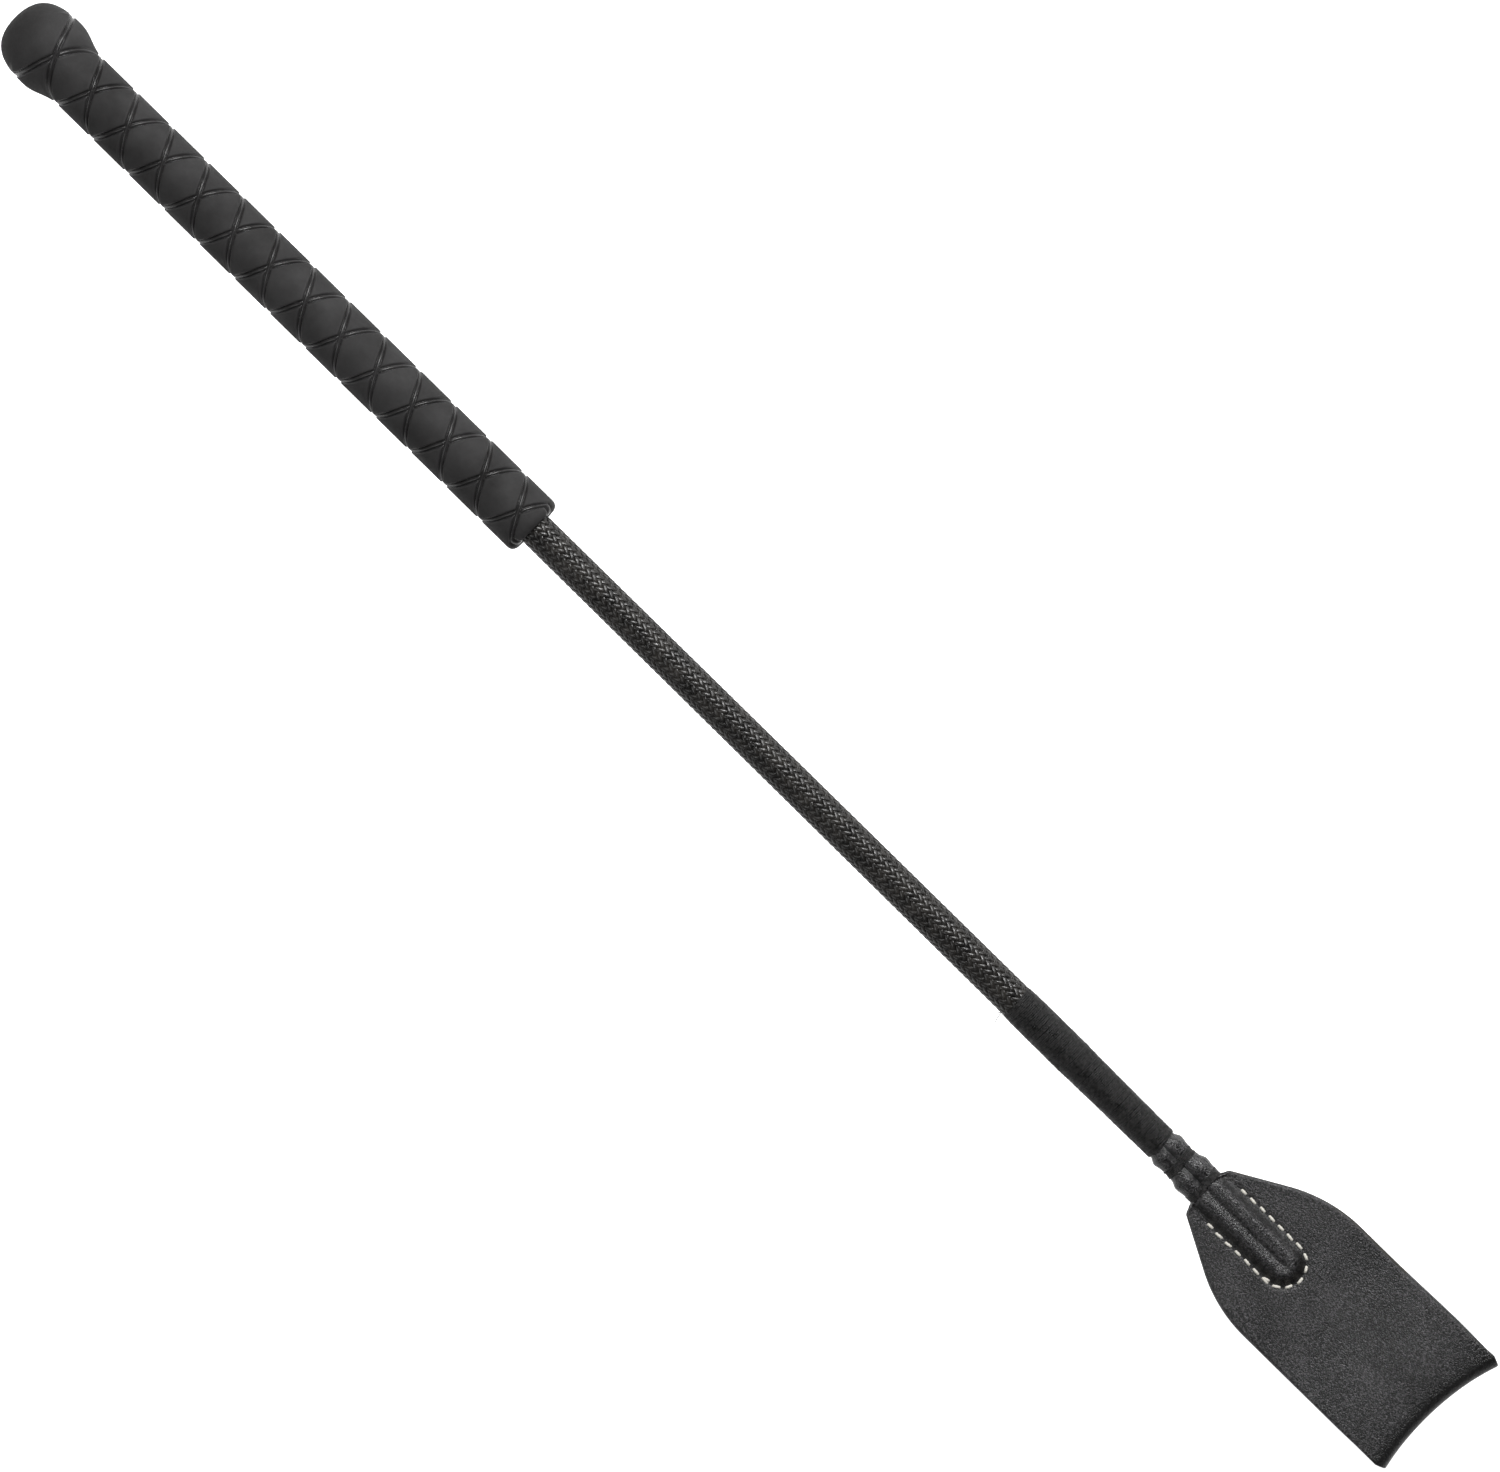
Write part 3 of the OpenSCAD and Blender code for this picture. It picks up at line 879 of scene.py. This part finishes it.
def tongue_rows():
    """Rows of the leather strip: along the upper layer, round the fold and back under it."""
    rows = []
    x = NECK_START - 1.5 * MM
    while x < FOLD_CENTRE:
        rows.append(("top", x))
        if x < LOOP_TURN + 10 * MM:
            x += FINE_ROW
        else:
            x += COARSE_ROW
    rows.append(("top", FOLD_CENTRE))
    fold = [("fold", 90 - turn) for turn in range(FOLD_ROW, 180, FOLD_ROW)]
    return rows + fold + [("under", x) for kind, x in reversed(rows)]


def leather_point(kind, at, column):
    """Point of the leather's outer face, in a row at a place, or at an angle round the fold."""
    side = 1 if column > 0 else -1
    share = abs(column) / HALF_COLUMNS
    x = FOLD_CENTRE if kind == "fold" else at
    y = column_y(x, share, side) * side
    half = tongue_half(x, side)
    if kind == "under":
        y *= 1 + UNDER_LEAF_MORE / half * (1 - smooth(FOLD_CENTRE - 15 * MM, FOLD_CENTRE, x))
        half += UNDER_LEAF_MORE
    elif kind == "top" and side > 0:
        lip = CORNER_LIP * smooth(TONGUE_START + 25 * MM, TONGUE_START + 60 * MM, x)
        lip *= 1 - smooth(FOLD_CENTRE - 8 * MM, FOLD_CENTRE, x)
        y *= 1 - lip / half
        half -= lip
    edge = (half - abs(y)) / MM
    round_off = EDGE_DROP * (1 - smooth(0, EDGE_REACH, edge)) ** 2
    if kind == "fold":
        turn = radians(at)
        pulled = y * (1 - FOLD_PULL * cos(turn) * smooth(0.55, 1, share))
        radius = FOLD_R + (tongue_height(x, y) - FOLD_R) * abs(sin(turn)) - round_off
        return Vector((x + radius * cos(turn) + tip_reach(y), pulled, radius * sin(turn)))
    flip = 1 if kind == "top" else -1
    stretch = tip_reach(y) * smooth(FOLD_CENTRE - 30 * MM, FOLD_CENTRE, x)
    plate = Vector((x + stretch, y, tongue_height(x, y) - round_off))
    lapped = radians(NECK_EDGE if kind == "top" else 180 - NECK_EDGE) if side > 0 else pi / 2
    angle = lapped * share * side
    crease = noise.noise(Vector((x * 500, angle * 1.5, 3.0 * flip))) * CREASE
    tube = around(x, neck_radius(x, angle) + crease - round_off * 0.5, angle)
    blend = smooth(TONGUE_START - 0.9 * MM, TONGUE_START + 1.4 * MM, x)
    point = tube.lerp(plate, blend)
    point.z *= flip
    return point


# Painted shade lies along the foot of the stub, at a distance from the loop's middle line, and on top of the
# neck, which is otherwise rubbed glossy
SHADE_LINE_OFF = 6.0 * MM
SHADE_LINE_HALF = 1.2 * MM
NECK_RUBBED = 1.1
NECK_PAINTED_SHADE = 2.2
NECK_SHADE_HALF = 0.3
# Where the leather's cut edges are: how far out at least, and how squarely they face sideways
CUT_EDGE_OUT = 8.0 * MM
CUT_EDGE_FACING = 0.75


def leather_wear_and_shade(kind, at, column):
    """How rubbed and glossy the leather is (above 0), or how much shade is painted into its colour (below 0).
    """
    # The roll of the fold, and the leather just before it, gets the darkest painted shade.
    if kind == "fold":
        return FOLD_PAINTED_SHADE
    side = 1 if column > 0 else -1
    y = column_y(at, abs(column) / HALF_COLUMNS, side) * side
    off = loop_distance(at, y)
    height = (tongue_height(at, y) - PLATE_Z) / (STUB_Z - PLATE_Z)
    rubbed = smooth(0.45, 0.95, height) * (1 - smooth(LOOP_TURN + 1 * MM, LOOP_TURN + 5 * MM, at))
    # Painted shade along the stub's foot: heavier on the -Y side, which the key lamp lights less, and
    # heaviest round the loop's end.
    painted_shade = mix(0.6 if y > 0 else 1.3, 1.7, smooth(LOOP_TURN, LOOP_TURN + 4 * MM, at))
    painted_shade *= dip(off - SHADE_LINE_OFF, SHADE_LINE_HALF)
    angle = radians(NECK_EDGE) * column / HALF_COLUMNS
    # Painted shade on top of the neck, in the dip between the two cords.
    neck = NECK_RUBBED - NECK_PAINTED_SHADE * dip(angle, NECK_SHADE_HALF)
    wear_and_shade = mix(neck, rubbed - painted_shade, smooth(TONGUE_START - 1 * MM, TONGUE_START + 3 * MM, at))
    return mix(wear_and_shade, FOLD_PAINTED_SHADE, smooth(FOLD_CENTRE - 2.5 * MM, FOLD_CENTRE + 0.5 * MM, at))


def on_cut_edge(face):
    """Whether a face is on one of the tongue's two long edges."""
    centre = face.calc_center_median()
    if centre.x <= TONGUE_START or abs(centre.y) <= CUT_EDGE_OUT or abs(centre.z) >= PLATE_Z:
        return False
    return face.calc_area() > 0 and abs(face.normal.y) > CUT_EDGE_FACING


def leather_tongue():
    """The leather strip: round the neck, flat over the loop, and folded back under itself."""
    bm = new_mesh()
    rows = tongue_rows()
    # Each vertex keeps how rubbed the leather is and how much shade is painted on it, for the leather's
    # finish.
    add_grid(bm, 2 * HALF_COLUMNS, len(rows) - 1,
             lambda column, row: leather_point(*rows[row], column - HALF_COLUMNS),
             lambda column, row: leather_wear_and_shade(*rows[row], column - HALF_COLUMNS))
    bmesh.ops.recalc_face_normals(bm, faces=bm.faces)
    bmesh.ops.solidify(bm, geom=bm.faces[:], thickness=-LEATHER_T)
    for face in bm.faces:
        if on_cut_edge(face):
            face.material_index = 1
    return finish_piece("leather_tongue", bm, [LEATHER, CUT_EDGE], None,
                        ["tongue_root", "tongue_flap"], merge=0.0005 * MM)


# ---------------------------------------------------------------- seam

STITCHES = 19
STITCH_LENGTH = 2.9 * MM
STITCH_STEPS = 14
STITCH_SIDES = 10
SEAM_THREAD_R = 0.47 * MM
# How deep a stitch's ends go into the leather, and how much higher its middle is
STITCH_SUNK = 0.35 * MM
STITCH_ARCH = 0.62 * MM
# Length of each straight side of the seam, and of the bend between them
SEAM_SIDE = LOOP_TURN - SEAM_START
SEAM_BEND = pi * SEAM_R


def seam_place(run):
    """Point on the seam and its direction, at a distance along it from the +Y side's first stitch."""
    if run < SEAM_SIDE:
        return Vector((SEAM_START + run, SEAM_R, 0)), Vector((1, 0, 0))
    if run > SEAM_SIDE + SEAM_BEND:
        return Vector((LOOP_TURN - (run - SEAM_SIDE - SEAM_BEND), -SEAM_R, 0)), Vector((-1, 0, 0))
    turn = (run - SEAM_SIDE) / SEAM_R
    return Vector((LOOP_TURN + SEAM_R * sin(turn), SEAM_R * cos(turn), 0)), Vector((cos(turn), -sin(turn), 0))


def stitch(bm, run, length, drift, turn, flip):
    """One stitch: a short length of two-ply thread that dips into the leather at both ends."""
    centre, along = seam_place(run)
    across = Vector((-along.y, along.x, 0))
    along = (along + across * turn).normalized()
    centre = centre + across * drift

    def place(column, row):
        part = row / STITCH_STEPS * 2 - 1
        point = centre + along * part * length / 2
        arch = 1 - abs(part) ** 2.6
        surface = tongue_height(point.x, point.y)
        thick = SEAM_THREAD_R * (0.55 + 0.45 * (1 - abs(part) ** 4))
        side = 2 * pi * column / STITCH_SIDES
        ply = 1 + 0.13 * cos(2 * (side - part * 4.2))
        height = surface - STITCH_SUNK + STITCH_ARCH * arch + thick * ply * sin(side) * 0.85
        point = point + across * thick * ply * cos(side) * (1 if 0 < row < STITCH_STEPS else 0.3)
        return Vector((point.x, point.y, flip * height))

    add_grid(bm, STITCH_SIDES, STITCH_STEPS, place)


def seam(name, flip, seed, node):
    """The row of stitches on the upper face (flip 1) or the under one (flip -1)."""
    bm = new_mesh()
    wander = random.Random(seed)
    pitch = (2 * SEAM_SIDE + SEAM_BEND) / STITCHES
    for number in range(STITCHES):
        length = STITCH_LENGTH * wander.uniform(0.84, 1.06)
        drift = wander.uniform(-0.15, 0.15) * MM
        turn = wander.uniform(-0.12, 0.12)
        stitch(bm, (number + 0.5) * pitch, length, drift, turn, flip)
    # One more, where the thread was fastened over the last stitches
    if flip > 0:
        stitch(bm, SEAM_SIDE + SEAM_BEND + 0.2 * MM, STITCH_LENGTH * 0.9, -0.5 * MM, 0.25, flip)
    return finish_piece(name, bm, [SEAM], "crop", [node])


# ---------------------------------------------------------------- neck bindings

def binding_radius(x, angle):
    """Radius over a neck binding, which lies straight across the dip between the cords."""
    return neck_radius(x, angle, 0) + BINDING_PROUD


def neck_bindings():
    """Threads wound round the leather at the two ends of its neck."""
    for name, (start, end), seed, node in (
            ("rear_binding_thread", REAR_BINDING, 21, "neck_binding_rear"),
            ("front_binding_thread", FRONT_BINDING, 22, "neck_binding_front")):
        bm = new_mesh()
        wound_thread(bm, start, end, binding_radius, BINDING_STEPS, random.Random(seed))
        finish_piece(name, bm, [THREAD], "crop", [node])


# ---------------------------------------------------------------- pieces inside

def inside_pieces():
    """Finishes of the pieces that the cover, the grip and the leather hide."""
    glass = hidden_finish("glass_fibre_rod", (0.60, 0.57, 0.46), (0.44, 0.41, 0.32), 60, 0.3, (1, 12, 12))
    padding = hidden_finish("cotton_padding", (0.50, 0.46, 0.39), (0.36, 0.32, 0.26), 700, 0.9, (1, 4, 4))
    tape = hidden_finish("grip_tape", (0.12, 0.115, 0.10), (0.07, 0.066, 0.058), 900, 0.8)
    plastic = hidden_finish("cap_plastic", (0.035, 0.035, 0.036), (0.022, 0.022, 0.023), 400, 0.45)
    finishes = {"core_rod": glass, "core_filler": padding, "grip_tape": tape, "rod_end_cap": plastic,
                "loop_lashing": THREAD, "keeper_loop": LEATHER}
    for node, material in finishes.items():
        mesh = frame["nodes"][node].data
        mesh.materials.clear()
        mesh.materials.append(material)


# ---------------------------------------------------------------- floor and lights

# Half the side of the table in metres, and how brightly the table and walls glow: for light, and as seen
TABLE_HALF = 6
TABLE_GLOW = (0.24, 0.9)
WALL_GLOW = (0.11, 1)


def studio_floor():
    """Glowing pale table, far enough under the crop for the tongue to bend down over it."""
    bend_down = radians(max(frame["joints"][0]["range_deg"]))
    lowest = (TONGUE_END - BEND.x + FOLD_R) * sin(bend_down) + FOLD_R
    bm = bmesh.new()
    bmesh.ops.create_grid(bm, x_segments=1, y_segments=1, size=TABLE_HALF)
    bmesh.ops.translate(bm, verts=bm.verts, vec=(0, 0, -lowest))
    mesh = bpy.data.meshes.new("floor")
    bm.to_mesh(mesh)
    bm.free()
    finish = Finish("light_table", (0.86, 0.86, 0.86), 0.9, Emission_Color=(1, 1, 1, 1))
    looked_at = finish.add("ShaderNodeLightPath").outputs["Is Camera Ray"]
    finish.use("Emission Strength", finish.levels(looked_at, *TABLE_GLOW))
    cloudy = finish.noise(finish.place(), 3, 2)
    finish.use("Base Color", finish.ramp(cloudy, [(0.3, (0.85, 0.85, 0.85)), (0.7, (0.88, 0.88, 0.88))]))
    mesh.materials.append(finish.material)
    plane = bpy.data.objects.new("floor", mesh)
    bpy.context.scene.collection.objects.link(plane)


def soft_light(name, place, size, power, colour=(1, 1, 1)):
    """Square lamp aimed at the middle of the crop, at a place turned with the camera."""
    data = bpy.data.lights.new(name, "AREA")
    data.shape = "SQUARE"
    data.size = size
    data.energy = power
    data.color = colour
    lamp = bpy.data.objects.new(name, data)
    lamp.location = Matrix.Rotation(CAMERA_TURN, 3, "Z") @ Vector(place)
    lamp.rotation_euler = (-lamp.location).to_track_quat("-Z", "Y").to_euler()
    bpy.context.scene.collection.objects.link(lamp)


def studio_world():
    """White walls to look at, which give only a dim light."""
    world = bpy.data.worlds.new("studio")
    world.use_nodes = True
    tree = world.node_tree
    tree.nodes["Background"].inputs["Color"].default_value = (1, 1, 1, 1)
    looked_at = tree.nodes.new("ShaderNodeLightPath").outputs["Is Camera Ray"]
    level = tree.nodes.new("ShaderNodeMapRange")
    level.inputs["To Min"].default_value = WALL_GLOW[0]
    level.inputs["To Max"].default_value = WALL_GLOW[1]
    tree.links.new(looked_at, level.inputs["Value"])
    tree.links.new(level.outputs["Result"], tree.nodes["Background"].inputs["Strength"])
    bpy.context.scene.world = world


def lights():
    """A key lamp for the highlights, and two weaker ones to soften the shadows."""
    studio_world()
    soft_light("key", (0.50, 1.02, 1.35), 0.6, 29)
    soft_light("side", (1.35, 1.35, 0.75), 0.8, 5)
    soft_light("fill", (-0.9, -0.5, 1.5), 0.8, 6)


rubber_grip()
cover_lining()
braid_strands("braid_right_hand", 1)
braid_strands("braid_left_hand", -1)
main_whipping()
loose_end()
neck_bindings()
tongue = leather_tongue()
seam("seam_upper", 1, 31, "seam_stitches_top")
seam("seam_under", -1, 32, "seam_stitches_under")
inside_pieces()
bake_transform(tongue, "crop", "flap", start=(BEND.x - 1.5 * MM, 0, 0), end=(BEND.x + 15 * MM, 0, 0))
studio_floor()
lights()
bpy.context.scene.view_settings.view_transform = "Standard"
